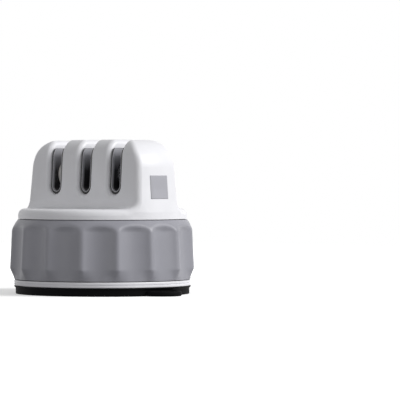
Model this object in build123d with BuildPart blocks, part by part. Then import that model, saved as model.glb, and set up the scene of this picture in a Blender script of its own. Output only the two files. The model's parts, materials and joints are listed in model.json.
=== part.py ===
from build123d import *
import os
from math import atan2, cos, degrees, radians, sin, sqrt

os.makedirs("parts", exist_ok=True)

# A pull-through knife sharpener with three slots, held to the worktop by a rubber suction cup.
# X runs along the row of slots, a knife is drawn along Y, and Z rises from the worktop.
# Turning the fluted ring lifts the middle of the cup through a barrel cam.

# Clearances that several pieces share
slide_gap = 0.3
seat_gap = 0.1
shaft_gap = 0.05
overrun = 1.0
pick_tolerance = 0.001

# Lift of the cup, and the turn of the ring that makes it
lift_travel = 3.0
lock_turn = 90.0
lug_count = 3
first_lug_angle = 90.0

# Suction cup
cup_radius = 36.0
cup_height = 3.4
cup_lip_reach = 0.5
cup_lip_height = 0.7
cup_waist_depth = 0.3
cup_edge_height = 0.5
cup_foot_width = 5.0
cup_dish_depth = 1.1
cup_floor_height = 2.3
cup_boss_radius = 10.5
cup_boss_gap = 0.4
cup_boss_rise = 1.3
cup_ridge_radius = 28.0
cup_ridge_width = 2.0
cup_ridge_height = 1.0
pull_tab_angle = -2.0
pull_tab_width = 16.0
pull_tab_reach = 1.3
pull_tab_thickness = 2.0
pull_tab_lift = 0.3
pull_tab_round = 1.0

# Base plate with its tower and screw columns
plate_thickness = 2.3
plate_round = 0.4
rim_groove_depth = 0.3
rim_groove_width = 0.4
tower_wall = 2.5
column_offset_share = 0.645
column_radius_share = 0.175
column_web = 1.6
column_seat_height = 9.0

# Slip washer that the ring turns on
washer_thickness = 0.6
washer_width = 8.0

# Fluted ring
ring_height = 24.2
ring_radius = 37.6
ring_foot_step = 2.1
ring_foot_bevel = 4.4
ring_top_step = 3.1
ring_top_bevel = 3.0
ring_draft = 0.05
ring_wall = 4.1
flute_count = 16
flute_depth = 1.25
flute_flank = 1.3
ridge_width = 2.6
ridge_round = 1.0
ring_lip_gap = 0.6
ring_lip_thickness = 2.0
key_count = 6
key_reach = 4.5
key_rib_width = 1.6

# Cam ring
cam_wall = 4.7
cam_top_gap = 0.2
groove_depth = 3.0
groove_entry_turn = 14.0
spline_width = 3.0
spline_rise = 1.4
stop_width = 5.0
stop_depth = 3.0
stop_inset = 2.0
stop_angle = -90.0

# Lifter, and the stud that joins it to the cup
lug_radius = 2.0
lug_height = 12.0
lifter_boss_share = 0.29
lifter_boss_height = 6.8
lifter_arm_share = 0.25
lifter_arm_thickness = 4.4
stud_disc_radius = 7.5
stud_disc_thickness = 1.2
stud_post_radius = 4.5
stud_spigot_radius = 3.2
stud_bore_radius = 2.0
stud_shoulder_height = 8.6
stud_bore_depth = 6.5
stud_washer_radius = 6.0
stud_washer_thickness = 1.0

# Head shell on its flange
flange_step = 3.2
flange_height = 4.1
rim_height = 2.9
head_height = 28.0
head_half_width = 11.4
end_draft = 0.08
side_draft = 0.06
neck_radius = 3.8
head_round = 2.5
shoulder_radius = 12.0
brow_radius = 8.0
brow_rise = 0.75
shell_wall = 2.2

# Slots in the head
slot_count = 3
end_post_width = 13.5
slot_width = 7.0
slot_rise = 5.9
slot_round = 2.0

# Floor that closes the head from below
floor_thickness = 1.8
floor_pad_radius = 3.0
floor_pad_rise = 1.2
floor_boss_radius = 3.4
floor_screw_reach = 9.8
floor_screw_y = 5.2
shell_boss_radius = 2.4
cradle_reach = 4.6
cradle_width = 3.0
cradle_length = 12.0

# Cartridge that holds the sharpening pieces, in a front and a back half
cartridge_foot_rise = 2.4
cartridge_drop = 3.5
cartridge_overhang = 7.0
channel_width = 4.6
lip_width = 0.7
lip_recess = 1.6
clamp_low_rise = 4.0
clamp_high_drop = 3.1
clamp_head_depth = 2.2

# Sharpening wheels, two on each axle
axle_height = 48.6
axle_radius = 1.25
axle_half_length = 6.2
wheel_radius = 6.0
wheel_nose_radius = 2.6
wheel_half_gap = 0.2
wheel_cone_width = 1.2
wheel_width = 4.4
wheel_chamfer = 0.3
wheel_hub_radius = 2.6
wheel_hub_recess = 0.4

# Crossed carbide blades of the middle slot
blade_thickness = 1.6
blade_width = 4.0
blade_length = 11.0
blade_lean = 20.0
blade_cross_height = 47.0
blade_tail = 2.5
blade_nick = 0.8
blade_bevel = 0.6

# Screws: shank radius, length, head radius, head height. The column screws' length follows from the stack
column_screw_radius = 1.5
column_screw_head_radius = 2.9
column_screw_head_height = 2.0
column_screw_tip_gap = 2.0
floor_screw = (1.2, 9.0, 2.2, 1.4)
clamp_screw = (0.9, 11.0, 1.8, 1.3)
stud_screw_size = (1.9, 5.8, 3.8, 2.4)
drive_width_share = 0.22
drive_length_share = 1.2
drive_depth_share = 0.5

# Heights of the stack, from the worktop up
plate_top = cup_height + plate_thickness
ring_foot = plate_top + slide_gap
ring_top = ring_foot + ring_height
flange_foot = ring_top + slide_gap
flange_top = flange_foot + flange_height
head_top = flange_top + head_height
slot_floor = flange_top + slot_rise
slot_axis = slot_floor + slot_width / 2
turn_floor = plate_top + washer_thickness
cam_top = ring_top - ring_lip_thickness - cam_top_gap
cartridge_foot = flange_top + cartridge_foot_rise
cartridge_top = head_top - cartridge_drop
column_screw_length = cartridge_foot - column_seat_height - column_screw_tip_gap

# Radii from the ring inward, and places along the row of slots
ring_foot_radius = ring_radius - ring_foot_step
ring_top_radius = ring_radius - ring_top_step
ring_bore_radius = ring_radius - ring_wall
cam_radius = ring_bore_radius - key_reach
ring_lip_radius = cam_radius + ring_lip_gap
stop_radius = cam_radius - stop_inset
tower_radius = cam_radius - cam_wall - slide_gap
column_offset = tower_radius * column_offset_share
column_radius = tower_radius * column_radius_share
lifter_boss_radius = tower_radius * lifter_boss_share
lifter_arm_width = tower_radius * lifter_arm_share
flange_radius = ring_radius - flange_step
slot_pitch = flange_radius - end_post_width - slot_width / 2
floor_screw_x = slot_pitch + floor_screw_reach
cradle_offset = slot_pitch + cradle_reach
cartridge_half_length = slot_pitch + cartridge_overhang

plate_hole_radius = cup_boss_radius + cup_boss_gap
tower_bore_radius = tower_radius - tower_wall
cam_bore_radius = tower_radius + slide_gap
lug_angles = [first_lug_angle + turn * 360 / lug_count for turn in range(lug_count)]
slot_places = [(step - (slot_count - 1) / 2) * slot_pitch for step in range(slot_count)]
left_slot, middle_slot, right_slot = slot_places
column_places = [(-column_offset, 0), (column_offset, 0)]
floor_screw_places = [
    (x, y)
    for x in (-floor_screw_x, floor_screw_x)
    for y in (-floor_screw_y, floor_screw_y)
]
clamp_x = slot_pitch / 2
clamp_places = [
    (x, z)
    for x in (-clamp_x, clamp_x)
    for z in (cartridge_foot + clamp_low_rise, cartridge_top - clamp_high_drop)
]


def save(piece, name):
    """Label a finished piece and write it under its own name."""
    piece.part.label = name
    export_step(piece.part, f"parts/{name}.step")


def screw_set(seats, size):
    """Pan-head screws of one size, each head seated on its plane and each shank along the plane's normal."""
    shank_radius, length, head_radius, head_height = size
    drive_long = head_radius * drive_length_share
    drive_wide = head_radius * drive_width_share
    with BuildPart() as screws:
        for seat in seats:
            with Locations(seat):
                Cylinder(shank_radius, length, align=(Align.CENTER, Align.CENTER, Align.MIN))
                Cylinder(head_radius, head_height, align=(Align.CENTER, Align.CENTER, Align.MAX))
            with BuildSketch(seat.offset(-head_height)):
                Rectangle(drive_long, drive_wide)
                Rectangle(drive_wide, drive_long)
            extrude(amount=head_height * drive_depth_share, mode=Mode.SUBTRACT)
    return screws


# Suction cup: black rubber, dished below, with a boss that holds the stud and a pull tab at the rim
with BuildPart() as suction_cup:
    dish_edge = cup_radius - cup_foot_width
    waist = cup_radius - cup_waist_depth
    ridge_inner = cup_ridge_radius - cup_ridge_width / 2
    ridge_outer = cup_ridge_radius + cup_ridge_width / 2
    ridge_top = cup_height + cup_ridge_height
    boss_top = cup_height + cup_boss_rise
    pocket_radius = stud_disc_radius + seat_gap
    pocket_top = cup_floor_height + stud_disc_thickness + 2 * seat_gap
    throat_radius = stud_post_radius + seat_gap
    with BuildSketch(Plane.XZ):
        with BuildLine():
            Polyline(
                (dish_edge, 0),
                (cup_radius + cup_lip_reach, 0),
                (cup_radius + cup_lip_reach, cup_lip_height),
                (waist, 2 * cup_lip_height),
                (waist, cup_height - 2 * cup_edge_height),
                (cup_radius, cup_height - cup_edge_height),
                (cup_radius, cup_height),
                (ridge_outer, cup_height),
                (ridge_outer, ridge_top),
                (ridge_inner, ridge_top),
                (ridge_inner, cup_height),
                (cup_boss_radius, cup_height),
                (cup_boss_radius, boss_top),
                (throat_radius, boss_top),
                (throat_radius, pocket_top),
                (pocket_radius, pocket_top),
                (pocket_radius, cup_floor_height),
                (0, cup_floor_height),
                (0, cup_dish_depth),
                close=True,
            )
        make_face()
    revolve(axis=Axis.Z)
    with BuildSketch(Plane.XY.offset(pull_tab_lift)):
        tab_end = cup_radius + pull_tab_reach
        with Locations(Location((0, 0), pull_tab_angle)):
            with Locations(((waist - overrun + tab_end) / 2, 0)):
                RectangleRounded(tab_end - waist + overrun, pull_tab_width, pull_tab_round)
    extrude(amount=pull_tab_thickness)
save(suction_cup, "suction_cup")


# Base plate: the white disc on the cup, with the tower that guides the lifter and two screw columns
with BuildPart() as base_plate:
    with BuildSketch(Plane.XZ):
        with BuildLine():
            Polyline(
                (plate_hole_radius, cup_height),
                (cup_radius, cup_height),
                (cup_radius, plate_top),
                (tower_radius, plate_top),
                (tower_radius, flange_foot),
                (tower_bore_radius, flange_foot),
                (tower_bore_radius, plate_top),
                (plate_hole_radius, plate_top),
                close=True,
            )
        make_face()
    revolve(axis=Axis.Z)
    rim_edges = base_plate.edges().filter_by(GeomType.CIRCLE)
    fillet(rim_edges.filter_by(lambda edge: abs(edge.radius - cup_radius) < pick_tolerance), plate_round)
    # a fine groove round the rim, and the seat of the cup's ridge below
    groove_inner = cup_radius - rim_groove_depth
    with BuildSketch(Plane.XY.offset(cup_height + plate_thickness / 2)):
        Circle(cup_radius + overrun)
        Circle(groove_inner, mode=Mode.SUBTRACT)
    extrude(amount=rim_groove_width / 2, both=True, mode=Mode.SUBTRACT)
    with BuildSketch(Plane.XY.offset(cup_height)):
        Circle(ridge_outer + seat_gap)
        Circle(ridge_inner - seat_gap, mode=Mode.SUBTRACT)
    extrude(amount=cup_ridge_height + seat_gap, mode=Mode.SUBTRACT)
    # the columns, each braced to the tower by a web
    with BuildSketch(Plane.XY.offset(plate_top)):
        with Locations(*column_places):
            Circle(column_radius)
        web_outer = tower_radius - tower_wall / 2
        with Locations((-(column_offset + web_outer) / 2, 0), ((column_offset + web_outer) / 2, 0)):
            Rectangle(web_outer - column_offset, column_web)
    extrude(amount=flange_foot - plate_top)
    with Locations(Plane(origin=(0, 0, cup_height), z_dir=(0, 0, -1))):
        with Locations(*column_places):
            CounterBoreHole(
                column_screw_radius + seat_gap,
                column_screw_head_radius + seat_gap,
                column_seat_height - cup_height,
                flange_foot - cup_height + overrun,
            )
    # the windows that the lifter's lugs ride in, open at the top so that the lifter drops in
    window_foot = lug_height - lug_radius - slide_gap
    window_width = 2 * (lug_radius + slide_gap)
    for lug_angle in lug_angles:
        with BuildSketch(Plane.YZ.rotated((0, 0, lug_angle)).offset(tower_bore_radius - overrun)):
            with Locations((0, window_foot + window_width / 2)):
                Circle(window_width / 2)
            with Locations((0, (window_foot + window_width / 2 + flange_foot + overrun) / 2)):
                Rectangle(window_width, flange_foot + overrun - window_foot - window_width / 2)
        extrude(amount=tower_wall + 2 * overrun, mode=Mode.SUBTRACT)
save(base_plate, "base_plate")


# Slip washer: the slippery plastic ring under the turning pieces
with BuildPart() as slip_washer:
    with BuildSketch(Plane.XY.offset(plate_top)):
        Circle(cam_bore_radius + washer_width)
        Circle(cam_bore_radius, mode=Mode.SUBTRACT)
    extrude(amount=washer_thickness)
save(slip_washer, "slip_washer")


def fluted_outline(radius):
    """The ring's outline at one height: soft ridges, with a flat flute between each two."""
    step = 360 / flute_count
    ridge_half = degrees(ridge_width / 2 / radius)
    flank_turn = degrees(flute_flank / radius)
    with BuildSketch() as outline:
        with BuildLine():
            for turn in range(flute_count):
                middle = turn * step
                ridge_side = step / 2 - ridge_half
                flute_side = ridge_side - flank_turn
                flute_start = Vector(radius, 0).rotate(Axis.Z, middle - ridge_side)
                floor_start = Vector(radius - flute_depth, 0).rotate(Axis.Z, middle - flute_side)
                floor_end = Vector(radius - flute_depth, 0).rotate(Axis.Z, middle + flute_side)
                ridge_start = Vector(radius, 0).rotate(Axis.Z, middle + ridge_side)
                ridge_top = Vector(radius, 0).rotate(Axis.Z, middle + step / 2)
                ridge_end = Vector(radius, 0).rotate(Axis.Z, middle + step - ridge_side)
                Polyline(flute_start, floor_start, floor_end, ridge_start)
                ThreePointArc(ridge_start, ridge_top, ridge_end)
        make_face()
        fillet(outline.vertices(), ridge_round)
    return outline.sketch


# Grip ring: grey, fluted, drafted towards the top and bevelled at both edges
with BuildPart() as grip_ring:
    bevel_height = ring_foot + ring_foot_bevel
    upper_radius = ring_radius - (ring_height - ring_foot_bevel) * ring_draft
    with BuildSketch(Plane.XY.offset(bevel_height)) as lower_outline:
        add(fluted_outline(ring_radius))
    with BuildSketch(Plane.XY.offset(ring_top)) as upper_outline:
        add(fluted_outline(upper_radius))
    loft(ruled=True)
    # the top bevel cuts ridges and flutes alike
    bevel_reach = ring_radius + overrun
    bevel_corner_radius = ring_radius - (ring_height - ring_top_bevel - ring_foot_bevel) * ring_draft
    bevel_slope = ring_top_bevel / (bevel_corner_radius - ring_top_radius)
    with BuildSketch(Plane.XZ):
        with BuildLine():
            Polyline(
                (0, ring_top),
                (ring_top_radius, ring_top),
                (bevel_reach, ring_top - (bevel_reach - ring_top_radius) * bevel_slope),
                (bevel_reach, ring_foot),
                (0, ring_foot),
                close=True,
            )
        make_face()
    revolve(axis=Axis.Z, mode=Mode.INTERSECT)
    # the foot bevel draws every flute out onto a plain circle, corner by corner
    lower_wire = lower_outline.sketch.wires()[0]
    corner_angles = sorted(degrees(atan2(corner.Y, corner.X)) % 360 for corner in lower_wire.vertices())
    foot_start = Vector(ring_foot_radius, 0, ring_foot)
    foot_wire = Wire([
        Edge.make_three_point_arc(
            foot_start.rotate(Axis.Z, start),
            foot_start.rotate(Axis.Z, (start + end) / 2),
            foot_start.rotate(Axis.Z, end),
        )
        for start, end in zip(corner_angles, corner_angles[1:] + [corner_angles[0] + 360])
    ])
    add(Solid.make_loft([foot_wire, lower_wire], ruled=True))
    with BuildSketch(Plane.XY.offset(ring_foot)):
        Circle(ring_bore_radius)
    extrude(amount=ring_height - ring_lip_thickness, mode=Mode.SUBTRACT)
    with BuildSketch(Plane.XY.offset(ring_foot)):
        Circle(ring_lip_radius)
    extrude(amount=ring_height, mode=Mode.SUBTRACT)
    # pairs of ribs inside, each pair holding one spline of the cam ring
    rib_inner = cam_radius + seat_gap
    rib_offset = spline_width / 2 + seat_gap + key_rib_width / 2
    with BuildSketch(Plane.XY.offset(turn_floor)):
        with PolarLocations(0, key_count):
            with Locations(
                ((rib_inner + ring_bore_radius + overrun) / 2, -rib_offset),
                ((rib_inner + ring_bore_radius + overrun) / 2, rib_offset),
            ):
                Rectangle(ring_bore_radius + overrun - rib_inner, key_rib_width)
    extrude(amount=ring_top - ring_lip_thickness / 2 - turn_floor)
save(grip_ring, "grip_ring")


# Cam ring: keyed inside the grip ring, with three helical grooves that carry the lifter's lugs
groove_width = 2 * (lug_radius + slide_gap)
lug_half_turn = degrees((groove_width / 2 + slide_gap) / cam_bore_radius)
groove_turn = groove_entry_turn + lock_turn + 2 * lug_half_turn
rise_per_turn = lift_travel * 360 / lock_turn
stop_step = degrees((stop_width + slide_gap) / stop_radius)
with BuildPart() as groove_cutter:
    groove_start_drop = (groove_entry_turn + lug_half_turn) * lift_travel / lock_turn
    helices = [
        Helix(rise_per_turn, rise_per_turn * groove_turn / 360, radius, mode=Mode.PRIVATE)
        for radius in (cam_bore_radius - overrun, cam_bore_radius + groove_depth)
    ]
    ribbon = Face.make_surface_from_curves(*helices)
    extrude(ribbon, amount=groove_width, dir=(0, 0, 1))
with BuildPart() as cam_ring:
    with BuildSketch(Plane.XY.offset(turn_floor)):
        Circle(cam_radius)
        with PolarLocations(0, key_count):
            with Locations((cam_radius, 0)):
                Rectangle(2 * spline_rise, spline_width)
        Circle(cam_radius - cam_wall, mode=Mode.SUBTRACT)
    extrude(amount=cam_top - turn_floor)
    for lug_angle in lug_angles:
        groove_start = lug_angle - groove_entry_turn - lug_half_turn
        groove_foot = lug_height - groove_width / 2 - groove_start_drop
        with Locations(Location((0, 0, groove_foot), (0, 0, groove_start))):
            add(groove_cutter.part, mode=Mode.SUBTRACT)
        # the lugs enter their groove through a channel that is open at the ring's foot
        with BuildSketch(Plane.XY.offset(turn_floor)):
            with Locations(Location((0, 0), lug_angle - groove_entry_turn)):
                with Locations((cam_bore_radius, 0)):
                    Rectangle(2 * groove_depth, groove_width)
        extrude(amount=groove_foot + groove_width / 2 - turn_floor, mode=Mode.SUBTRACT)
    # two stops on the top edge meet the tab under the head's floor at either end of the turn
    with BuildSketch(Plane.XY.offset(cam_top)):
        for stop_place in (stop_angle - stop_step, stop_angle + stop_step + lock_turn):
            with Locations(Location((0, 0), stop_place)):
                with Locations((stop_radius, 0)):
                    Rectangle(stop_depth, stop_width)
    extrude(amount=flange_foot - slide_gap - cam_top)
save(cam_ring, "cam_ring")


# Lifter: a three-armed spider whose round lugs reach through the tower into the cam grooves
with BuildPart() as lifter:
    with BuildSketch(Plane.XY.offset(stud_shoulder_height)):
        Circle(lifter_boss_radius)
    extrude(amount=lifter_boss_height)
    with BuildSketch(Plane.XY.offset(lug_height - lifter_arm_thickness / 2)):
        Circle(tower_bore_radius - slide_gap)
        with PolarLocations(0, lug_count, start_angle=first_lug_angle):
            with Locations((tower_bore_radius / 2, 0)):
                Rectangle(tower_bore_radius, lifter_arm_width, mode=Mode.INTERSECT)
    extrude(amount=lifter_arm_thickness)
    for lug_angle in lug_angles:
        lug_plane = Plane.YZ.rotated((0, 0, lug_angle)).offset(tower_bore_radius / 2)
        with BuildSketch(Plane(lug_plane.origin + Vector(0, 0, lug_height), lug_plane.x_dir, lug_plane.z_dir)):
            Circle(lug_radius)
        extrude(amount=cam_bore_radius + groove_depth - slide_gap - tower_bore_radius / 2)
    with Locations((0, 0, stud_shoulder_height + lifter_boss_height)):
        Hole(stud_spigot_radius + seat_gap)
save(lifter, "lifter")


# Cup stud: the steel stem whose disc is moulded into the middle of the cup
with BuildPart() as cup_stud:
    disc_foot = cup_floor_height + seat_gap
    spigot_top = stud_shoulder_height + lifter_boss_height - seat_gap
    with BuildSketch(Plane.XZ):
        with BuildLine():
            Polyline(
                (0, disc_foot),
                (stud_disc_radius, disc_foot),
                (stud_disc_radius, disc_foot + stud_disc_thickness),
                (stud_post_radius, disc_foot + stud_disc_thickness),
                (stud_post_radius, stud_shoulder_height),
                (stud_spigot_radius, stud_shoulder_height),
                (stud_spigot_radius, spigot_top),
                (stud_bore_radius, spigot_top),
                (stud_bore_radius, spigot_top - stud_bore_depth),
                (0, spigot_top - stud_bore_depth),
                close=True,
            )
        make_face()
    revolve(axis=Axis.Z)
save(cup_stud, "cup_stud")

# Washer and screw that clamp the lifter onto the stud
washer_foot = stud_shoulder_height + lifter_boss_height
with BuildPart() as stud_washer:
    with BuildSketch(Plane.XY.offset(washer_foot)):
        Circle(stud_washer_radius)
        Circle(stud_bore_radius, mode=Mode.SUBTRACT)
    extrude(amount=stud_washer_thickness)
save(stud_washer, "stud_washer")

stud_screw_seat = Plane(origin=(0, 0, washer_foot + stud_washer_thickness), z_dir=(0, 0, -1))
save(screw_set([stud_screw_seat], stud_screw_size), "stud_screw")


def head_form(inset, top=head_top):
    """Solid of the head on its flange, drawn in by the inset but for its open foot, and cut off level at the top."""
    foot = flange_foot - (overrun if inset else 0)
    top = min(top, head_top - inset)
    rim = flange_radius - inset
    rim_top = flange_foot + rim_height
    # the end's drafted line, and the shoulder that rounds it into the flat crown
    end_normal = Vector(1, end_draft).normalized()
    shoulder_height = head_top - shoulder_radius
    shoulder_x = flange_radius - (shoulder_height - rim_top) * end_draft - shoulder_radius / end_normal.X
    shoulder = Vector(shoulder_x, shoulder_height)
    shoulder_start = shoulder + end_normal * (shoulder_radius - inset)
    crown_edge = shoulder_x + sqrt(max(0, (shoulder_radius - inset) ** 2 - (top - shoulder_height) ** 2))
    knee = min(rim, shoulder_start.X + (shoulder_start.Y - rim_top) * end_draft)
    # the neck above the flange, the side's drafted line, and the brow that rounds it towards the crown
    side_normal = Vector(1, side_draft).normalized()
    neck = Vector(head_half_width + neck_radius, flange_top + neck_radius)
    neck_end = neck - side_normal * (neck_radius + inset)
    brow_height = head_top + brow_rise - brow_radius
    brow_depth = neck.X - (brow_height - neck.Y) * side_draft - (neck_radius + brow_radius) / side_normal.X
    brow = Vector(brow_depth, brow_height)
    brow_start = brow + side_normal * (brow_radius - inset)
    brow_end = brow + Vector(0, brow_radius - inset)
    with BuildPart() as form:
        # turned about Z: the flange's rim, the drafted ends and the shoulders
        with BuildSketch(Plane.XZ):
            with BuildLine():
                Polyline((0, top), (0, foot), (knee, foot), (knee, rim_top), shoulder_start)
                RadiusArc(shoulder_start, (crown_edge, top), inset - shoulder_radius)
                Line((crown_edge, top), (0, top))
            make_face()
        revolve(axis=Axis.Z)
        # drawn along X: the flange's top, the hollow neck, the drafted front and back, and the brow
        with BuildSketch(Plane.YZ):
            with BuildLine():
                Polyline(
                    (0, foot),
                    (flange_radius + overrun, foot),
                    (flange_radius + overrun, flange_top - inset),
                    (neck.X, flange_top - inset),
                )
                RadiusArc((neck.X, flange_top - inset), neck_end, neck_radius + inset)
                Line(neck_end, brow_start)
                RadiusArc(brow_start, brow_end, inset - brow_radius)
                Polyline(brow_end, (0, brow_end.Y), (0, foot))
            make_face()
            mirror(about=Plane.YZ)
        extrude(amount=flange_radius + overrun, both=True, mode=Mode.INTERSECT)
    return form.part


def border(faces):
    """Edges that only one of the faces has: the outline of the group."""
    return [
        edge
        for face in faces
        for edge in face.edges()
        if sum(edge.is_same(other) for near in faces for other in near.edges()) == 1
    ]


def slot_outline(half_width):
    """Draw the slots seen from the front: round at the foot and open at the top."""
    for place in slot_places:
        with Locations((place, slot_axis)):
            Circle(half_width)
        with Locations((place, (slot_axis + head_top + overrun) / 2)):
            Rectangle(2 * half_width, head_top + overrun - slot_axis)


outer_form = head_form(0)
shell_hollow = head_form(shell_wall, cartridge_top + seat_gap)
cartridge_form = head_form(shell_wall + seat_gap)
lip_form = head_form(lip_recess)
reach = flange_radius + overrun

# Bosses inside the shell that take the floor's screws
with BuildPart() as shell_bosses:
    boss_foot = flange_foot + floor_thickness + floor_pad_rise
    with BuildSketch(Plane.XY.offset(boss_foot)):
        with Locations(*floor_screw_places):
            Circle(shell_boss_radius)
    extrude(amount=head_top - boss_foot)
    add(head_form(shell_wall / 2), mode=Mode.INTERSECT)

# Top shell: the white head with its flange, three slots across it, open below
with BuildPart() as top_shell:
    add(outer_form)
    crown_height = head_top - pick_tolerance
    sides = [
        face
        for face in top_shell.faces()
        if abs(face.normal_at().X) < pick_tolerance and flange_foot < face.center().Z < crown_height
    ]
    fillet(border([face for face in sides if abs(face.center().Y) > slot_width / 2]), head_round)
    with BuildSketch(Plane.XZ):
        slot_outline(slot_width / 2)
    extrude(amount=reach, both=True, mode=Mode.SUBTRACT)
    walls = [
        face
        for face in top_shell.faces()
        if min(abs(abs(face.center().X - place) - slot_width / 2) for place in slot_places) < pick_tolerance
        or (face.geom_type == GeomType.CYLINDER and slot_floor - pick_tolerance < face.center().Z < slot_axis)
    ]
    fillet(border([face for face in walls if abs(face.center().Y) < pick_tolerance]), slot_round)
    add(shell_hollow, mode=Mode.SUBTRACT)
    add(shell_bosses.part)
    with BuildSketch(Plane.XY.offset(boss_foot)):
        with Locations(*floor_screw_places):
            Circle(floor_screw[0])
    extrude(amount=floor_screw[1], mode=Mode.SUBTRACT)
save(top_shell, "top_shell")


# Shell floor: closes the head, stands on the tower and carries the cartridge
with BuildPart() as shell_floor:
    with BuildSketch(Plane.XY.offset(flange_foot)):
        Circle(flange_radius - shell_wall - seat_gap)
    extrude(amount=floor_thickness)
    with BuildSketch(Plane.XY.offset(flange_foot)):
        with Locations(*floor_screw_places):
            Circle(floor_pad_radius)
    extrude(amount=floor_thickness + floor_pad_rise)
    with BuildSketch(Plane.XY.offset(flange_foot)):
        with Locations(*column_places):
            Circle(floor_boss_radius)
        with Locations((-cradle_offset, 0), (cradle_offset, 0)):
            Rectangle(cradle_width, cradle_length)
    extrude(amount=cartridge_foot - flange_foot)
    with Locations(Plane(origin=(0, 0, flange_foot), z_dir=(0, 0, -1))):
        with Locations(*floor_screw_places):
            CounterBoreHole(
                floor_screw[0] + seat_gap,
                floor_screw[2] + seat_gap,
                floor_screw[3] + seat_gap,
                floor_thickness + floor_pad_rise,
            )
    with BuildSketch(Plane.XY.offset(flange_foot)):
        with Locations(*column_places):
            Circle(column_screw_radius)
    extrude(amount=cartridge_foot - flange_foot, mode=Mode.SUBTRACT)
    with BuildSketch(Plane.XY.offset(cam_top + slide_gap)):
        with Locations(Location((0, 0), stop_angle)):
            with Locations((stop_radius, 0)):
                Rectangle(stop_depth, stop_width)
    extrude(amount=flange_foot - cam_top)
save(shell_floor, "shell_floor")

# The screws that hold the head down on the tower, and those that close its floor
column_seats = [Plane(origin=(x, y, column_seat_height)) for x, y in column_places]
column_screw = (column_screw_radius, column_screw_length, column_screw_head_radius, column_screw_head_height)
save(screw_set(column_seats, column_screw), "column_screws")

floor_seats = [Plane(origin=(x, y, flange_foot + floor_screw[3])) for x, y in floor_screw_places]
save(screw_set(floor_seats, floor_screw), "floor_screws")


def blade_plane(side):
    """Plane of one carbide blade, in its middle: its edge leans away from the slot's centre plane."""
    lean = radians(blade_lean)
    along = Vector(side * sin(lean), 0, cos(lean))
    across = Vector(side * cos(lean), 0, -sin(lean))
    middle = Vector(middle_slot, 0, blade_cross_height)
    middle += along * (blade_length / 2 - blade_tail) + across * (blade_width / 2)
    return Plane(middle, x_dir=across, z_dir=(0, -1, 0) if side > 0 else (0, 1, 0))


def blade_outline(grow):
    """Draw one blade, with a nick at each outer corner."""
    with BuildSketch() as outline:
        Rectangle(blade_width + 2 * grow, blade_length + 2 * grow)
        chamfer(outline.vertices().group_by(Axis.X)[-1], blade_nick)
    return outline.sketch


# Cartridge: one moulding split along the middle of the slots, with channels, wheel pockets and seats
front_blade_plane = blade_plane(1)
back_blade_plane = blade_plane(-1)
with BuildPart() as cartridge:
    add(cartridge_form)
    with BuildSketch(Plane.XY.offset(cartridge_foot)):
        Rectangle(2 * cartridge_half_length, 2 * reach)
    extrude(amount=cartridge_top - cartridge_foot, mode=Mode.INTERSECT)
with BuildPart() as cartridge_lips:
    with BuildSketch(Plane.XZ):
        slot_outline(channel_width / 2 + lip_width)
        with Locations((0, (cartridge_foot + cartridge_top) / 2)):
            Rectangle(2 * reach, cartridge_top - cartridge_foot, mode=Mode.INTERSECT)
    extrude(amount=reach, both=True)
    add(lip_form, mode=Mode.INTERSECT)
with BuildPart() as cartridge_cuts:
    with BuildSketch(Plane.XZ):
        slot_outline(channel_width / 2)
    extrude(amount=reach, both=True)
    for place in (left_slot, right_slot):
        with BuildSketch(Plane.YZ.offset(place)):
            with Locations((0, axle_height)):
                Circle(wheel_radius + slide_gap)
        extrude(amount=wheel_width + slide_gap, both=True)
        with BuildSketch(Plane.YZ.offset(place)):
            with Locations((0, axle_height)):
                Circle(axle_radius + shaft_gap)
        extrude(amount=axle_half_length + slide_gap, both=True)
    for blade_seat in (front_blade_plane, back_blade_plane):
        with BuildSketch(blade_seat):
            add(blade_outline(seat_gap))
        extrude(amount=blade_thickness + seat_gap)
    clamp_seat = head_half_width - shell_wall - seat_gap - clamp_head_depth - side_draft * head_height
    for x, z in clamp_places:
        with BuildSketch(Plane.XZ):
            with Locations((x, z)):
                Circle(clamp_screw[0])
        extrude(amount=clamp_screw[1] - clamp_seat)
        with BuildSketch(Plane.XZ):
            with Locations((x, z)):
                Circle(clamp_screw[0] + seat_gap)
        extrude(amount=-clamp_seat)
        with BuildSketch(Plane.XZ.offset(-clamp_seat)):
            with Locations((x, z)):
                Circle(clamp_screw[2] + seat_gap)
        extrude(amount=-reach)


def cartridge_half(side):
    """One half of the cartridge: the side is -1 for the front and 1 for the back."""
    with BuildPart() as half:
        add(cartridge.part)
        add(cartridge_lips.part)
        add(cartridge_cuts.part, mode=Mode.SUBTRACT)
        split(bisect_by=Plane.XZ, keep=Keep.BOTTOM if side > 0 else Keep.TOP)
    return half


save(cartridge_half(-1), "cartridge_front")
save(cartridge_half(1), "cartridge_back")

clamp_seats = [Plane(origin=(x, clamp_seat, z), z_dir=(0, -1, 0)) for x, z in clamp_places]
save(screw_set(clamp_seats, clamp_screw), "cartridge_screws")


def carbide_blade(seat):
    """One tungsten carbide blade, with a ground bevel on its inner edge."""
    with BuildPart() as blade:
        with BuildSketch(seat):
            add(blade_outline(0))
        extrude(amount=blade_thickness)
        inner_edges = blade.edges().filter_by(lambda edge: abs(edge.length - blade_length) < pick_tolerance)
        chamfer(max(inner_edges, key=lambda edge: abs(edge.center().Y)), blade_bevel)
    return blade


save(carbide_blade(front_blade_plane), "carbide_blade_front")
save(carbide_blade(back_blade_plane), "carbide_blade_back")


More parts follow.
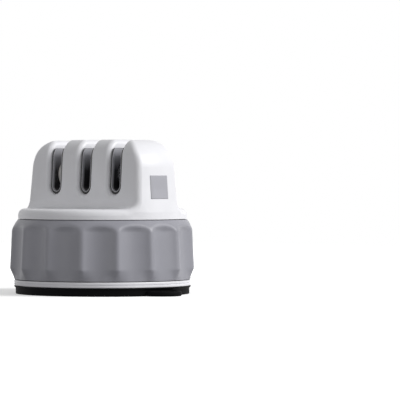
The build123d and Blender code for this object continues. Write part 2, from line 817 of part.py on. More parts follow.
def wheel(place, side):
    """One sharpening wheel: its cone faces the slot's centre plane, its hub faces outward."""
    inner = wheel_half_gap
    rim_inner = inner + wheel_cone_width
    bore = axle_radius + shaft_gap
    with BuildPart() as turned:
        with BuildSketch():
            with BuildLine():
                Polyline(
                    (inner, bore),
                    (inner, wheel_nose_radius),
                    (rim_inner, wheel_radius),
                    (wheel_width - wheel_chamfer, wheel_radius),
                    (wheel_width, wheel_radius - wheel_chamfer),
                    (wheel_width, wheel_hub_radius + wheel_hub_recess),
                    (wheel_width - wheel_hub_recess, wheel_hub_radius),
                    (wheel_width - wheel_hub_recess, bore),
                    close=True,
                )
            make_face()
        revolve(axis=Axis.X)
        if side < 0:
            mirror(about=Plane.YZ, mode=Mode.REPLACE)
    turned.part.locate(Location((place, 0, axle_height)))
    return turned


def axle(place):
    """The steel pin of a pair of wheels, seated at both ends between the cartridge halves."""
    with BuildPart() as pin:
        with BuildSketch(Plane.YZ.offset(place)):
            with Locations((0, axle_height)):
                Circle(axle_radius)
        extrude(amount=axle_half_length, both=True)
    return pin


for grit, place in (("ceramic", left_slot), ("diamond", right_slot)):
    save(wheel(place, -1), f"{grit}_wheel_left")
    save(wheel(place, 1), f"{grit}_wheel_right")
    save(axle(place), f"{grit}_axle")
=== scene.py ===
import json
from math import atan2, cos, pi, radians, sin, sqrt

import bmesh
import bpy
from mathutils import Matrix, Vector


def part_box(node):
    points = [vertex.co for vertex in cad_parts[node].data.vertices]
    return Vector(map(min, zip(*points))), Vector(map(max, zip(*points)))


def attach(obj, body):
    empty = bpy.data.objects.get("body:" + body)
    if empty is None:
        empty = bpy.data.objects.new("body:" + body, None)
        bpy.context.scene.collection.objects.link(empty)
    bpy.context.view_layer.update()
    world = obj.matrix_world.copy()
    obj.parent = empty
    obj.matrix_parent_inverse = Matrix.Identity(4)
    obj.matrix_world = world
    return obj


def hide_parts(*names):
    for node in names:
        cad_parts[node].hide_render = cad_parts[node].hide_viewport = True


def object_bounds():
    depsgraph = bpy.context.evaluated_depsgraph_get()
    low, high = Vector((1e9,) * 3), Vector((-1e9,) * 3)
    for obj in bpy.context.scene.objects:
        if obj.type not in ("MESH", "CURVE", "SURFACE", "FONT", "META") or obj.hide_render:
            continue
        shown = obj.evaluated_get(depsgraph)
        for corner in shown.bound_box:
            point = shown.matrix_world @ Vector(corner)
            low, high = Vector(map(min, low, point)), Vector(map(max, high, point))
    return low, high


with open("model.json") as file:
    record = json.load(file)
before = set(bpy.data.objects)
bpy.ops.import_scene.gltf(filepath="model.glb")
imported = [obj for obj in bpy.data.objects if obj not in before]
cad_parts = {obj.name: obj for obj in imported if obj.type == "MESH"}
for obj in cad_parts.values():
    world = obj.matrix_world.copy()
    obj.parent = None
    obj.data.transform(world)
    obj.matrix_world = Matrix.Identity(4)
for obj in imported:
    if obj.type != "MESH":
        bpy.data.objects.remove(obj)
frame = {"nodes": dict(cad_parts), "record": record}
cad_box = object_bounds()
nodes = frame["nodes"]
MM = 0.001

# Suction cup: a dished pad of black nitrile rubber that seals on the worktop, with a tab to pull its edge up.
# It is compression moulded in one piece, so its edges are soft, with a faint bloom and fine flow marks.
# This mesh stands for the soft solid and adds the sealing grooves and the tab's full length.


def linear(hex_colour):
    """An sRGB hex colour as the linear values that a shader takes."""
    channels = [int(hex_colour[place : place + 2], 16) / 255 for place in (1, 3, 5)]
    curve = [c / 12.92 if c <= 0.04045 else ((c + 0.055) / 1.055) ** 2.4 for c in channels]
    return (*curve, 1.0)


def add_node(material, kind, values=None, links=None, **settings):
    """Add one shader node with its settings, its socket values and the links into its sockets."""
    node = material.node_tree.nodes.new(kind)
    for name, value in settings.items():
        setattr(node, name, value)
    for socket, value in (values or {}).items():
        node.inputs[socket].default_value = value
    for socket, source in (links or {}).items():
        material.node_tree.links.new(source, node.inputs[socket])
    return node


def new_material(name):
    """A node material without nodes."""
    material = bpy.data.materials.new(name)
    material.use_nodes = True
    material.node_tree.nodes.clear()
    return material


# The grain of a mould, about 0.05 mm, is too fine to show, so every grain here is drawn coarser.
MELT_SIZE = 14 * MM
MELT_LOW, MELT_HIGH = 0.3, 0.7  # the part of the noise's range that is used
MELT_SHINE = 0.04


def moulded(name, colours, roughness, specular, grain_size, grain_depth):
    """A moulded surface: a fine grain from the tool, and slow changes of tone and shine from the melt."""
    material = new_material(name)
    place = add_node(material, "ShaderNodeTexCoord")
    grain = add_node(
        material, "ShaderNodeTexNoise",
        {"Scale": 1 / grain_size, "Detail": 3.0, "Roughness": 0.6}, {"Vector": place.outputs["Object"]},
    )
    melt = add_node(
        material, "ShaderNodeTexNoise",
        {"Scale": 1 / MELT_SIZE, "Detail": 2.0}, {"Vector": place.outputs["Object"]},
    )
    tone = add_node(material, "ShaderNodeValToRGB", links={"Fac": melt.outputs["Fac"]})
    for stop, level, colour in zip(tone.color_ramp.elements, (MELT_LOW, MELT_HIGH), colours):
        stop.position = level
        stop.color = linear(colour)
    shine = add_node(
        material, "ShaderNodeMapRange",
        {
            "From Min": MELT_LOW, "From Max": MELT_HIGH,
            "To Min": roughness - MELT_SHINE, "To Max": roughness + MELT_SHINE,
        },
        {"Value": melt.outputs["Fac"]},
    )
    relief = add_node(
        material, "ShaderNodeBump",
        {"Strength": 0.5, "Distance": grain_depth}, {"Height": grain.outputs["Fac"]},
    )
    shader = add_node(
        material, "ShaderNodeBsdfPrincipled", {"Specular IOR Level": specular},
        {
            "Base Color": tone.outputs["Color"], "Roughness": shine.outputs["Result"],
            "Normal": relief.outputs["Normal"],
        },
    )
    add_node(material, "ShaderNodeOutputMaterial", links={"Surface": shader.outputs["BSDF"]})
    return material


def finish_node(name, material):
    """Give a node of the frame its real finish."""
    mesh = nodes[name].data
    mesh.materials.clear()
    mesh.materials.append(material)


def new_piece(name, mesh, material):
    """An object made of a finished bmesh, in one material."""
    data = bpy.data.meshes.new(name)
    mesh.to_mesh(data)
    mesh.free()
    data.materials.append(material)
    piece = bpy.data.objects.new(name, data)
    bpy.context.collection.objects.link(piece)
    return piece


nitrile_rubber = moulded(
    "nitrile_rubber_moulded", ("#050506", "#08080a"),
    roughness=0.62, specular=0.05, grain_size=0.5 * MM, grain_depth=0.01 * MM,
)
finish_node("suction_cup", nitrile_rubber)
SHARP_ANGLE = radians(35)  # an edge that turns by more is shaded as sharp
CUP_RADIUS = 36.0 * MM
CUP_WALL_RADIUS = 35.4 * MM
CUP_HEIGHT = 3.4 * MM
CUP_EDGE_THICKNESS = 0.5 * MM
CUP_EDGE_FOOT = 2.5 * MM  # where the wall starts to widen to the edge
DISH_RADIUS = 31.0 * MM
DISH_DEPTH = 1.1 * MM
DISH_STEPS = 12
GROOVE_COUNT = 3
GROOVE_PITCH = 1.1 * MM
GROOVE_WIDTH = 0.4 * MM
GROOVE_DEPTH = 0.3 * MM
RIDGE_RADIUS = 28.0 * MM
RIDGE_WIDTH = 2.0 * MM
RIDGE_HEIGHT = 1.0 * MM
BOSS_RADIUS = 10.5 * MM
BOSS_RISE = 1.3 * MM
POCKET_RADIUS = 7.6 * MM
POCKET_FOOT = 2.3 * MM
POCKET_HEIGHT = 1.4 * MM
THROAT_RADIUS = 4.6 * MM
CUP_ROUND = 0.35 * MM
ROUND_STEPS = 4
CUP_COLUMNS = 160
TAB_ANGLE = radians(-2)
TAB_ROOT = 33.0 * MM
TAB_REACH = 43.5 * MM
TAB_WIDTH = 16.0 * MM
TAB_LIFT = 0.05 * MM
TAB_THICKNESS = 2.0 * MM
TAB_ROUND = 0.5 * MM
TAB_BEAD = 1.1 * MM
TAB_RECESS = 0.4 * MM
TAB_ARC_STEPS = 24
WELD = 0.001 * MM  # points that are nearer than this become one


def softened(corners, size):
    """An open outline with a soft round, of about the given size, in place of each inner corner."""
    outline = [corners[0]]
    for before, corner, after in zip(corners, corners[1:], corners[2:]):
        start = corner + (before - corner).normalized() * min(size, (before - corner).length / 2)
        end = corner + (after - corner).normalized() * min(size, (after - corner).length / 2)
        for step in range(ROUND_STEPS + 1):
            share = step / ROUND_STEPS
            outline.append(start.lerp(corner, share).lerp(corner.lerp(end, share), share))
    return outline + [corners[-1]]


def cup_section():
    """Half the pad's section: the dished underside, grooved foot, wall, top, and the pocket in the boss."""
    spans = [DISH_RADIUS * step / DISH_STEPS for step in range(DISH_STEPS + 1)]
    underside = [Vector((span, 0, DISH_DEPTH * (1 - (span / DISH_RADIUS) ** 2))) for span in spans]
    for groove in range(1, GROOVE_COUNT + 1):
        middle = DISH_RADIUS + groove * GROOVE_PITCH
        for side, depth in ((-1, 0), (0, GROOVE_DEPTH), (1, 0)):
            underside.append(Vector((middle + side * GROOVE_WIDTH / 2, 0, depth)))
    corners = [
        (CUP_WALL_RADIUS, 0),
        (CUP_WALL_RADIUS, CUP_EDGE_FOOT),
        (CUP_RADIUS, CUP_HEIGHT - CUP_EDGE_THICKNESS),
        (CUP_RADIUS, CUP_HEIGHT),
        (RIDGE_RADIUS + RIDGE_WIDTH / 2, CUP_HEIGHT),
        (RIDGE_RADIUS + RIDGE_WIDTH / 2, CUP_HEIGHT + RIDGE_HEIGHT),
        (RIDGE_RADIUS - RIDGE_WIDTH / 2, CUP_HEIGHT + RIDGE_HEIGHT),
        (RIDGE_RADIUS - RIDGE_WIDTH / 2, CUP_HEIGHT),
        (BOSS_RADIUS, CUP_HEIGHT),
        (BOSS_RADIUS, CUP_HEIGHT + BOSS_RISE),
        (THROAT_RADIUS, CUP_HEIGHT + BOSS_RISE),
        (THROAT_RADIUS, POCKET_FOOT + POCKET_HEIGHT),
        (POCKET_RADIUS, POCKET_FOOT + POCKET_HEIGHT),
        (POCKET_RADIUS, POCKET_FOOT),
        (0, POCKET_FOOT),
    ]
    corners = [Vector((span, 0, rise)) for span, rise in corners]
    return underside[:-1] + softened(underside[-1:] + corners, CUP_ROUND)


def tab_outline(inset, rise):
    """The pull tab's outline at an inset from its edge: two straight sides and a round end."""
    half = TAB_WIDTH / 2
    turns = [pi * (step / TAB_ARC_STEPS - 0.5) for step in range(TAB_ARC_STEPS + 1)]
    points = [(TAB_REACH - half + (half - inset) * cos(turn), (half - inset) * sin(turn)) for turn in turns]
    points = [(TAB_ROOT, inset - half), *points, (TAB_ROOT, half - inset)]
    return [
        Vector((x * cos(TAB_ANGLE) - y * sin(TAB_ANGLE), x * sin(TAB_ANGLE) + y * cos(TAB_ANGLE), rise))
        for x, y in points
    ]


def rubber_cup():
    """The turned pad, and the tab with a bead round its edge, as one moulding."""
    mesh = bmesh.new()
    section = [mesh.verts.new(point) for point in cup_section()]
    edges = [mesh.edges.new(pair) for pair in zip(section, section[1:])]
    bmesh.ops.spin(
        mesh, geom=section + edges, cent=(0, 0, 0), axis=(0, 0, 1), angle=2 * pi, steps=CUP_COLUMNS,
        use_merge=True,
    )
    top = TAB_LIFT + TAB_THICKNESS
    levels = [(TAB_ROUND, TAB_LIFT), (0, TAB_LIFT + TAB_ROUND), (0, top - TAB_ROUND), (TAB_ROUND, top)]
    levels += [(TAB_BEAD, top), (TAB_BEAD + TAB_RECESS, top - TAB_RECESS)]
    levels = softened([Vector((inset, 0, rise)) for inset, rise in levels], TAB_ROUND / 2)
    rows = [[mesh.verts.new(point) for point in tab_outline(level.x, level.z)] for level in levels]
    for low, high in zip(rows, rows[1:]):
        for place in range(len(low)):
            after = (place + 1) % len(low)
            mesh.faces.new((low[place], low[after], high[after], high[place]))
    mesh.faces.new(rows[0][::-1])
    mesh.faces.new(rows[-1])
    bmesh.ops.remove_doubles(mesh, verts=mesh.verts, dist=WELD)
    bmesh.ops.recalc_face_normals(mesh, faces=mesh.faces)
    for face in mesh.faces:
        face.smooth = True
    piece = new_piece("rubber_cup", mesh, nitrile_rubber)
    piece.data.set_sharp_from_angle(angle=SHARP_ANGLE)
    return piece


cup_piece = rubber_cup()
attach(cup_piece, "base")
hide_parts("suction_cup")


# Base plate: a disc with a tower, and two columns that the head is screwed to, in the head's white ABS.
# It is injection moulded in a finely sparked tool, which leaves a satin face.
white_abs = moulded(
    "abs_white_moulded_satin", ("#e6e6ea", "#ececf0"),
    roughness=0.42, specular=0.5, grain_size=0.35 * MM, grain_depth=0.006 * MM,
)
finish_node("base_plate", white_abs)


# Slip washer and cam ring: natural acetal, moulded in polished tools because they rub, so it is a waxy white.
# The cam ring is keyed in the grip ring and turns on the washer, which lies on the base plate.
natural_acetal = moulded(
    "acetal_natural_moulded", ("#dcdad0", "#e4e2da"),
    roughness=0.3, specular=0.45, grain_size=1.2 * MM, grain_depth=0.004 * MM,
)
finish_node("slip_washer", natural_acetal)
finish_node("cam_ring", natural_acetal)


# Grip ring: grey ABS, satin, moulded in a tool that is sparked a little coarser than the head's, for grip.
# Its flutes are hollow arcs between rounded crests, which grow shallow below the bevel and end on a cone at
# the foot. Every edge is blended, so this mesh stands for the plainer solid.
grey_abs = moulded(
    "abs_grey_moulded_satin", ("#8f8f97", "#94949c"),
    roughness=0.42, specular=0.45, grain_size=0.4 * MM, grain_depth=0.009 * MM,
)
finish_node("grip_ring", grey_abs)
FLUTE_COUNT = 16
CREST_RADIUS = 38.0 * MM
CREST_ROUND = 2.2 * MM
FLUTE_DEPTH = 2.15 * MM
FLUTE_TURN = radians(-1.05)
RING_FOOT_RADIUS = 36.0 * MM
RING_TOP_RADIUS = 34.5 * MM
RING_BORE_RADIUS = 33.5 * MM
RING_LIP_RADIUS = 29.6 * MM
RING_LIP_THICKNESS = 2.0 * MM
RING_DRAFT = 0.05
FOOT_CONE_HEIGHT = 4.4 * MM
BEVEL_SLOPE = 0.75
BEVEL_BLEND = 0.9 * MM
FOOT_BLEND = 0.12 * MM
RUNOUT_FOOT = 4.8 * MM  # the flutes start to grow shallow this far below the top
RUNOUT_TOP = 1.6 * MM  # and stop here
RUNOUT_SHARE = 0.42  # after losing this share of their depth
COLUMNS_PER_FLUTE = 30
FOOT_ROWS = (0.0, 0.3, 0.6, 0.85, 0.95, 1.0, 1.05, 1.15)  # shares of the cone's height
WALL_START = 1.3  # likewise
WALL_ROWS = 14
BEVEL_ROWS = 26
BEVEL_BAND = 5.2 * MM


def flute_radius(turn):
    """The outline's radius at an angle from a flute's middle: a hollow arc, then the round of a crest."""
    half_step = pi / FLUTE_COUNT
    crest_centre = CREST_RADIUS - CREST_ROUND
    floor = CREST_RADIUS - FLUTE_DEPTH
    level = crest_centre * cos(half_step)
    gap = CREST_ROUND**2 - crest_centre**2 - floor**2 + 2 * floor * level
    hollow = gap / (2 * (floor - level - CREST_ROUND))
    hollow_centre = floor + hollow
    share = CREST_ROUND / (CREST_ROUND + hollow)
    touch_x = level + (hollow_centre - level) * share
    touch_y = crest_centre * sin(half_step) * (1 - share)
    turn = abs(turn)
    if turn < atan2(touch_y, touch_x):
        return hollow_centre * cos(turn) - sqrt(hollow**2 - (hollow_centre * sin(turn)) ** 2)
    lean = half_step - turn
    return crest_centre * cos(lean) + sqrt(CREST_ROUND**2 - (crest_centre * sin(lean)) ** 2)


def smaller(a, b, blend):
    """The smaller of two radii, rounded over where the two surfaces cross."""
    share = min(max(0.5 + 0.5 * (b - a) / blend, 0.0), 1.0)
    return b + (a - b) * share - blend * share * (1 - share)


def ring_wall(turn, rise, height):
    """The ring's outside radius at an angle from a flute's middle and a rise above the ring's foot."""
    outline = flute_radius(turn)
    fade = min(max((rise - height + RUNOUT_FOOT) / (RUNOUT_FOOT - RUNOUT_TOP), 0.0), 1.0)
    outline += (CREST_RADIUS - outline) * RUNOUT_SHARE * fade * fade * (3 - 2 * fade)
    wall = outline - RING_DRAFT * max(rise - FOOT_CONE_HEIGHT, 0.0)
    foot = RING_FOOT_RADIUS + (outline - RING_FOOT_RADIUS) * rise / FOOT_CONE_HEIGHT
    bevel = RING_TOP_RADIUS + BEVEL_SLOPE * (height - rise)
    return smaller(smaller(wall, foot, FOOT_BLEND), bevel, BEVEL_BLEND)


def scalloped_ring():
    """The whole ring as rows of points: up the fluted outside, over the lip and down the bore."""
    (_, _, foot), (_, _, top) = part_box("grip_ring")
    height = top - foot
    count = FLUTE_COUNT * COLUMNS_PER_FLUTE
    rises = [FOOT_CONE_HEIGHT * share for share in FOOT_ROWS]
    start = FOOT_CONE_HEIGHT * WALL_START
    rises += [start + (height - BEVEL_BAND - start) * row / WALL_ROWS for row in range(WALL_ROWS)]
    rises += [height - BEVEL_BAND * (1 - row / BEVEL_ROWS) for row in range(BEVEL_ROWS + 1)]
    inside = [
        (RING_LIP_RADIUS, height),
        (RING_LIP_RADIUS, height - RING_LIP_THICKNESS),
        (RING_BORE_RADIUS, height - RING_LIP_THICKNESS),
        (RING_BORE_RADIUS, 0.0),
    ]
    mesh = bmesh.new()
    rows = []
    half_step = pi / FLUTE_COUNT
    turns = [2 * pi * column / count for column in range(count)]
    for rise in rises:
        row = []
        for turn in turns:
            from_middle = (turn - FLUTE_TURN + half_step) % (2 * half_step) - half_step
            radius = ring_wall(from_middle, rise, height)
            row.append(mesh.verts.new((radius * cos(turn), radius * sin(turn), foot + rise)))
        rows.append(row)
    for radius, rise in inside:
        rows.append([mesh.verts.new((radius * cos(turn), radius * sin(turn), foot + rise)) for turn in turns])
    for low, high in zip(rows, rows[1:] + rows[:1]):
        for column in range(count):
            after = (column + 1) % count
            mesh.faces.new((low[column], low[after], high[after], high[column])).smooth = True
    piece = new_piece("scalloped_ring", mesh, grey_abs)
    piece.data.set_sharp_from_angle(angle=SHARP_ANGLE)
    return piece


ring_piece = scalloped_ring()
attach(ring_piece, "turning_ring")
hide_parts("grip_ring")


# Lifter: an acetal spider, held on the cup's zinc plated steel stem by a washer and a screw.
# Bright zinc is a pale bluish metal with a faint crystalline unevenness, which is drawn coarser than it is.
finish_node("lifter", natural_acetal)
CRYSTAL_SHINE = 0.06


def crystalline(name, colour, roughness, crystal_size):
    """A bright metal whose shine varies a little from crystal to crystal."""
    material = new_material(name)
    place = add_node(material, "ShaderNodeTexCoord")
    crystals = add_node(
        material, "ShaderNodeTexVoronoi", {"Scale": 1 / crystal_size}, {"Vector": place.outputs["Object"]},
    )
    shine = add_node(
        material, "ShaderNodeMapRange",
        {"To Min": roughness - CRYSTAL_SHINE, "To Max": roughness + CRYSTAL_SHINE},
        {"Value": crystals.outputs["Distance"]},
    )
    shader = add_node(
        material, "ShaderNodeBsdfPrincipled", {"Base Color": linear(colour), "Metallic": 1.0},
        {"Roughness": shine.outputs["Result"]},
    )
    add_node(material, "ShaderNodeOutputMaterial", links={"Surface": shader.outputs["BSDF"]})
    return material


zinc_plate = crystalline("steel_zinc_plated", "#c3c5c9", roughness=0.32, crystal_size=0.6 * MM)
for name in ("cup_stud", "stud_washer", "stud_screw"):
    finish_node(name, zinc_plate)


# Head: the white ABS shell and the floor that closes it from below, held by four screws.
# Both come from the same resin and tool finish as the base plate.
finish_node("top_shell", white_abs)
finish_node("shell_floor", white_abs)


# Cartridge: two halves of pale grey glass-filled nylon, clamped together, that line the slots with a lip.
# The filler makes the face a little rougher and duller than the shell's. A painted shadow line runs round
# each lip, and painted shade darkens the channels inward and towards their floor.
slot_boxes = [opening["box_m"] for opening in frame["record"]["physics"]["openings"]]
SLOT_PITCH = max(low[0] + high[0] for low, high in slot_boxes) / 2
SLOT_AXIS = 44.0 * MM  # the height of the centre of a slot's round floor
LIP_OUTSIDE = 2.5 * MM  # from a slot's middle to the painted shadow line round its lip
LIP_FACE = 11.9 * MM  # about half the depth of the liner, taken down to the worktop by its draft
SIDE_DRAFT = 0.06
SHADE_START_DEPTH = 0.3 * MM  # the painted shade grows inward between these depths
SHADE_FULL_DEPTH = 1.2 * MM
SHADE_START_HEIGHT = 57.0 * MM  # and downward between these heights
SHADE_FULL_HEIGHT = 50.0 * MM
MIX_FACTOR, MIX_A, MIX_B = 0, 6, 7  # a mix node's sockets for colours
MIX_RESULT = 2
grey_nylon = moulded(
    "nylon_glass_filled_moulded", ("#b6b6bc", "#bcbcc2"),
    roughness=0.45, specular=0.5, grain_size=0.3 * MM, grain_depth=0.008 * MM,
)
place = add_node(grey_nylon, "ShaderNodeTexCoord")
point = add_node(grey_nylon, "ShaderNodeSeparateXYZ", links={0: place.outputs["Object"]})
across = add_node(
    grey_nylon, "ShaderNodeMath", {1: SLOT_PITCH / 2}, {0: point.outputs["X"]}, operation="PINGPONG",
)
rise = add_node(grey_nylon, "ShaderNodeMath", {1: SLOT_AXIS}, {0: point.outputs["Z"]}, operation="SUBTRACT")
below = add_node(grey_nylon, "ShaderNodeMath", {1: 0.0}, {0: rise.outputs["Value"]}, operation="MINIMUM")
offset = add_node(
    grey_nylon, "ShaderNodeCombineXYZ", links={"X": across.outputs["Value"], "Z": below.outputs["Value"]},
)
from_slot = add_node(
    grey_nylon, "ShaderNodeVectorMath", links={0: offset.outputs["Vector"]}, operation="LENGTH",
)
# painted shadow: beyond this distance from a slot's middle the face is near black, as the shaded gap
outside = add_node(
    grey_nylon, "ShaderNodeMath", {1: LIP_OUTSIDE}, {0: from_slot.outputs["Value"]}, operation="GREATER_THAN",
)
face = add_node(
    grey_nylon, "ShaderNodeMath", {1: -SIDE_DRAFT, 2: LIP_FACE}, {0: point.outputs["Z"]},
    operation="MULTIPLY_ADD",
)
aside = add_node(grey_nylon, "ShaderNodeMath", links={0: point.outputs["Y"]}, operation="ABSOLUTE")
depth = add_node(
    grey_nylon, "ShaderNodeMath", links={0: face.outputs["Value"], 1: aside.outputs["Value"]},
    operation="SUBTRACT",
)
inside = add_node(
    grey_nylon, "ShaderNodeMapRange", {"From Min": SHADE_START_DEPTH, "From Max": SHADE_FULL_DEPTH},
    {"Value": depth.outputs["Value"]},
)
# painted shade: the channels' colour darkens inward from the lip face and downward below the top
shade_by_height = add_node(
    grey_nylon, "ShaderNodeMapRange", {"From Min": SHADE_START_HEIGHT, "From Max": SHADE_FULL_HEIGHT},
    {"Value": point.outputs["Z"]},
)
painted_shade = add_node(
    grey_nylon, "ShaderNodeMath", links={0: shade_by_height.outputs["Result"], 1: inside.outputs["Result"]},
    operation="MULTIPLY",
)
nylon_shader = next(node for node in grey_nylon.node_tree.nodes if node.type == "BSDF_PRINCIPLED")
nylon_colour = nylon_shader.inputs["Base Color"].links[0].from_socket
# the painted shade's dark grey, then the painted shadow line's near black round each lip
for amount, dark_colour in ((painted_shade.outputs["Value"], "#1e1e22"), (outside.outputs["Value"], "#0c0c0e")):
    mix = add_node(
        grey_nylon, "ShaderNodeMix", {MIX_B: linear(dark_colour)}, {MIX_FACTOR: amount, MIX_A: nylon_colour},
        data_type="RGBA",
    )
    nylon_colour = mix.outputs[MIX_RESULT]
grey_nylon.node_tree.links.new(nylon_colour, nylon_shader.inputs["Base Color"])
finish_node("cartridge_front", grey_nylon)
finish_node("cartridge_back", grey_nylon)


# Ceramic wheels: fine sintered alumina, off-white and matt, pressed to shape and free on a steel axle.
# The grit is too fine to show, so it is drawn at about 0.25 mm.
sintered_alumina = moulded(
    "alumina_sintered", ("#dedcd7", "#e9e7e3"),
    roughness=0.7, specular=0.6, grain_size=0.25 * MM, grain_depth=0.03 * MM,
)
finish_node("ceramic_wheel_left", sintered_alumina)
finish_node("ceramic_wheel_right", sintered_alumina)


# Diamond wheels: steel with diamond grit plated on in nickel, dark with a scatter of bright points.
# The grit is drawn at about 0.3 mm, coarser than the real 60 micrometres, so that it shows.
GRIT_SIZE = 0.3 * MM
GRIT_DEPTH = 0.05 * MM
diamond_grit = new_material("diamond_grit_in_nickel")
place = add_node(diamond_grit, "ShaderNodeTexCoord")
grit = add_node(
    diamond_grit, "ShaderNodeTexVoronoi", {"Scale": 1 / GRIT_SIZE}, {"Vector": place.outputs["Object"]},
)
spark = add_node(diamond_grit, "ShaderNodeValToRGB", links={"Fac": grit.outputs["Color"]})
for stop, level, colour in zip(spark.color_ramp.elements, (0.55, 0.85), ("#55565a", "#b9babf")):
    stop.position = level
    stop.color = linear(colour)
relief = add_node(
    diamond_grit, "ShaderNodeBump", {"Strength": 0.8, "Distance": GRIT_DEPTH},
    {"Height": grit.outputs["Distance"]},
)
shader = add_node(
    diamond_grit, "ShaderNodeBsdfPrincipled", {"Metallic": 1.0, "Roughness": 0.45},
    {"Base Color": spark.outputs["Color"], "Normal": relief.outputs["Normal"]},
)
add_node(diamond_grit, "ShaderNodeOutputMaterial", links={"Surface": shader.outputs["BSDF"]})
finish_node("diamond_wheel_left", diamond_grit)
finish_node("diamond_wheel_right", diamond_grit)


# Carbide blades: sintered tungsten carbide, ground to a bright grey and crossed in the middle slot.
# The marks of grinding are about 0.1 mm apart and are drawn at 0.2 mm.
GRINDING_SIZE = 0.2 * MM
tungsten_carbide = new_material("tungsten_carbide_ground")
place = add_node(tungsten_carbide, "ShaderNodeTexCoord")
marks = add_node(
    tungsten_carbide, "ShaderNodeTexNoise", {"Scale": 1 / GRINDING_SIZE, "Detail": 2.0},
    {"Vector": place.outputs["Object"]},
)
shine = add_node(
    tungsten_carbide, "ShaderNodeMapRange", {"To Min": 0.25, "To Max": 0.42}, {"Value": marks.outputs["Fac"]},
)
shader = add_node(
    tungsten_carbide, "ShaderNodeBsdfPrincipled", {"Base Color": linear("#77777c"), "Metallic": 1.0},
    {"Roughness": shine.outputs["Result"]},
)
add_node(tungsten_carbide, "ShaderNodeOutputMaterial", links={"Surface": shader.outputs["BSDF"]})
finish_node("carbide_blade_front", tungsten_carbide)
finish_node("carbide_blade_back", tungsten_carbide)


# Axles and screws: plain steel pins, and zinc plated pan-head screws.
# The pins are drawn wire, bright and smooth, and lie across the two halves of the cartridge.
bright_steel = crystalline("steel_drawn_bright", "#c9c9cb", roughness=0.25, crystal_size=0.4 * MM)
finish_node("ceramic_axle", bright_steel)
finish_node("diamond_axle", bright_steel)
for name in ("column_screws", "floor_screws", "cartridge_screws"):
    finish_node(name, zinc_plate)


# Label: a square of grey ink on the right-hand end of the head, left plain.
# It is pad printed: a thin film that follows the shell's face, even in tone and a little duller than it.
LABEL_SIZE = 9.4 * MM
LABEL_HEIGHT = 43.4 * MM  # of its middle
LABEL_SHIFT = -0.7 * MM
LABEL_FILM = 0.04 * MM  # above the shell's face, and as deep below it
LABEL_CELLS = 24
label_ink = moulded(
    "ink_grey_pad_printed", ("#a4a4ab", "#a9a9b0"),
    roughness=0.5, specular=0.4, grain_size=0.25 * MM, grain_depth=0.004 * MM,
)


def printed_square():
    """A film of ink laid on the shell: every corner of its grid is dropped onto the shell's face along X."""
    shell = nodes["top_shell"]
    start_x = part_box("top_shell")[1][0] + LABEL_SIZE
    mesh = bmesh.new()
    grid = []
    for row in range(LABEL_CELLS + 1):
        line = []
        for column in range(LABEL_CELLS + 1):
            y = LABEL_SHIFT + (column / LABEL_CELLS - 0.5) * LABEL_SIZE
            z = LABEL_HEIGHT + (row / LABEL_CELLS - 0.5) * LABEL_SIZE
            _, point, normal, _ = shell.ray_cast(Vector((start_x, y, z)), Vector((-1, 0, 0)))
            line.append(mesh.verts.new(point + normal * LABEL_FILM))
        grid.append(line)
    for low, high in zip(grid, grid[1:]):
        for a, b, c, d in zip(low, low[1:], high[1:], high):
            mesh.faces.new((a, b, c, d)).smooth = True
    mesh.normal_update()
    bmesh.ops.solidify(mesh, geom=list(mesh.faces), thickness=2 * LABEL_FILM)
    return new_piece("square_print", mesh, label_ink)


square_print = printed_square()
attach(square_print, "base")


# Stage: a white studio floor, with the object's soft shadow on it.
# The camera and mirrors see white paper, and the light that it throws back on the object is a grey one's.
FLOOR_SIZE = 1.3
FLOOR_GLOW = 0.45  # the paper's own light, weaker near the object so that the shadow shows
FLOOR_GLOW_FAR = 1.0
NEAR_RADIUS = 55 * MM
FAR_RADIUS = 160 * MM
white_paper = new_material("paper_white")
rays = add_node(white_paper, "ShaderNodeLightPath")
seen = add_node(
    white_paper, "ShaderNodeMath", links={0: rays.outputs["Is Camera Ray"], 1: rays.outputs["Is Glossy Ray"]},
    operation="MAXIMUM",
)
tone = add_node(white_paper, "ShaderNodeValToRGB", links={"Fac": seen.outputs["Value"]})
tone.color_ramp.elements[0].color = linear("#8c8c8c")
tone.color_ramp.elements[1].color = linear("#e8e8e8")
paper = add_node(white_paper, "ShaderNodeBsdfDiffuse", links={"Color": tone.outputs["Color"]})
place = add_node(white_paper, "ShaderNodeTexCoord")
reach = add_node(white_paper, "ShaderNodeVectorMath", links={0: place.outputs["Object"]}, operation="LENGTH")
spread = add_node(
    white_paper, "ShaderNodeMapRange",
    {"From Min": NEAR_RADIUS, "From Max": FAR_RADIUS, "To Min": FLOOR_GLOW, "To Max": FLOOR_GLOW_FAR},
    {"Value": reach.outputs["Value"]}, interpolation_type="SMOOTHSTEP",
)
lift = add_node(
    white_paper, "ShaderNodeMath", links={0: seen.outputs["Value"], 1: spread.outputs["Result"]},
    operation="MULTIPLY",
)
glow = add_node(
    white_paper, "ShaderNodeEmission", {"Color": linear("#ffffff")}, {"Strength": lift.outputs["Value"]},
)
both = add_node(
    white_paper, "ShaderNodeAddShader", links={0: paper.outputs["BSDF"], 1: glow.outputs["Emission"]},
)
add_node(white_paper, "ShaderNodeOutputMaterial", links={"Surface": both.outputs["Shader"]})
floor_mesh = bmesh.new()
sides = [(-1, -1), (1, -1), (1, 1), (-1, 1)]
floor_mesh.faces.new([floor_mesh.verts.new((x * FLOOR_SIZE / 2, y * FLOOR_SIZE / 2, 0)) for x, y in sides])
studio_floor = new_piece("studio_floor", floor_mesh, white_paper)


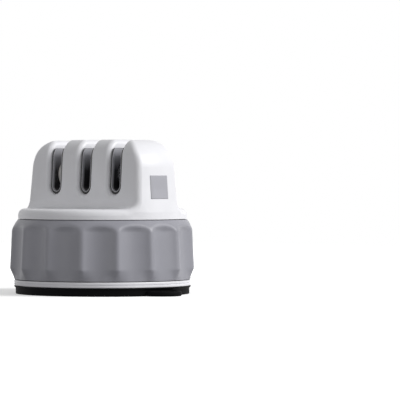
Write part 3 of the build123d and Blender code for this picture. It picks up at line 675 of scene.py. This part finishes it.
# World: an even studio, white where the camera or a mirror looks past the object.
# It gives the fill light from all round.
FILL_STRENGTH = 0.28
world = bpy.data.worlds.new("studio")
bpy.context.scene.world = world
world.use_nodes = True
world.node_tree.nodes.clear()
rays = add_node(world, "ShaderNodeLightPath")
seen = add_node(
    world, "ShaderNodeMath", links={0: rays.outputs["Is Camera Ray"], 1: rays.outputs["Is Glossy Ray"]},
    operation="MAXIMUM",
)
strength = add_node(
    world, "ShaderNodeMapRange", {"To Min": FILL_STRENGTH, "To Max": 1.0}, {"Value": seen.outputs["Value"]},
)
sky = add_node(
    world, "ShaderNodeBackground", {"Color": linear("#ffffff")}, {"Strength": strength.outputs["Result"]},
)
add_node(world, "ShaderNodeOutputWorld", links={"Surface": sky.outputs["Background"]})


# Lamps: one large soft box to the right and a little behind, one weak one low in front.
# The right-hand box makes the bright end face and the shaded front.
LAMP_DISTANCE = 1.2
LAMP_SIZE = 0.6


def soft_box(name, azimuth, elevation, power):
    """An area lamp that looks at the middle of the object. Azimuth is from the front (-Y) towards +X."""
    middle = (cad_box[0] + cad_box[1]) / 2
    a, e = radians(azimuth), radians(elevation)
    direction = Vector((sin(a) * cos(e), -cos(a) * cos(e), sin(e)))
    data = bpy.data.lights.new(name, "AREA")
    data.shape = "SQUARE"
    data.size = LAMP_SIZE
    data.energy = power
    lamp = bpy.data.objects.new(name, data)
    lamp.location = middle + direction * LAMP_DISTANCE
    lamp.rotation_mode = "QUATERNION"
    lamp.rotation_quaternion = direction.to_track_quat("Z", "Y")
    bpy.context.collection.objects.link(lamp)


soft_box("right_soft_box", azimuth=115, elevation=30, power=13.5)
soft_box("front_soft_box", azimuth=0, elevation=8, power=1.8)


# Camera: level with the upper part of the head, turned 46 degrees from the front towards the right-hand end.
# The shift places the object at the left of the picture, where the photograph has it.
VIEW_AZIMUTH = 46
VIEW_DISTANCE = 1.225
VIEW_HEIGHT = 50 * MM
SENSOR = 36.0
PICTURE = 400
AXIS_COLUMN = 102.5  # where the photograph shows the ring's axis
HORIZON_ROW = 170.7
PIXELS_PER_METRE = 2452  # at the ring's axis
camera_data = bpy.data.cameras.new("camera")
camera_data.sensor_width = SENSOR
camera_data.lens = PIXELS_PER_METRE * VIEW_DISTANCE / PICTURE * SENSOR
camera_data.shift_x = (PICTURE / 2 - AXIS_COLUMN) / PICTURE
camera_data.shift_y = -(PICTURE / 2 - HORIZON_ROW) / PICTURE
camera = bpy.data.objects.new("camera", camera_data)
back = Vector((sin(radians(VIEW_AZIMUTH)), -cos(radians(VIEW_AZIMUTH)), 0))
camera.location = back * VIEW_DISTANCE + Vector((0, 0, VIEW_HEIGHT))
camera.rotation_mode = "QUATERNION"
camera.rotation_quaternion = back.to_track_quat("Z", "Y")
bpy.context.collection.objects.link(camera)
bpy.context.scene.camera = camera
bpy.context.scene.view_settings.view_transform = "Standard"
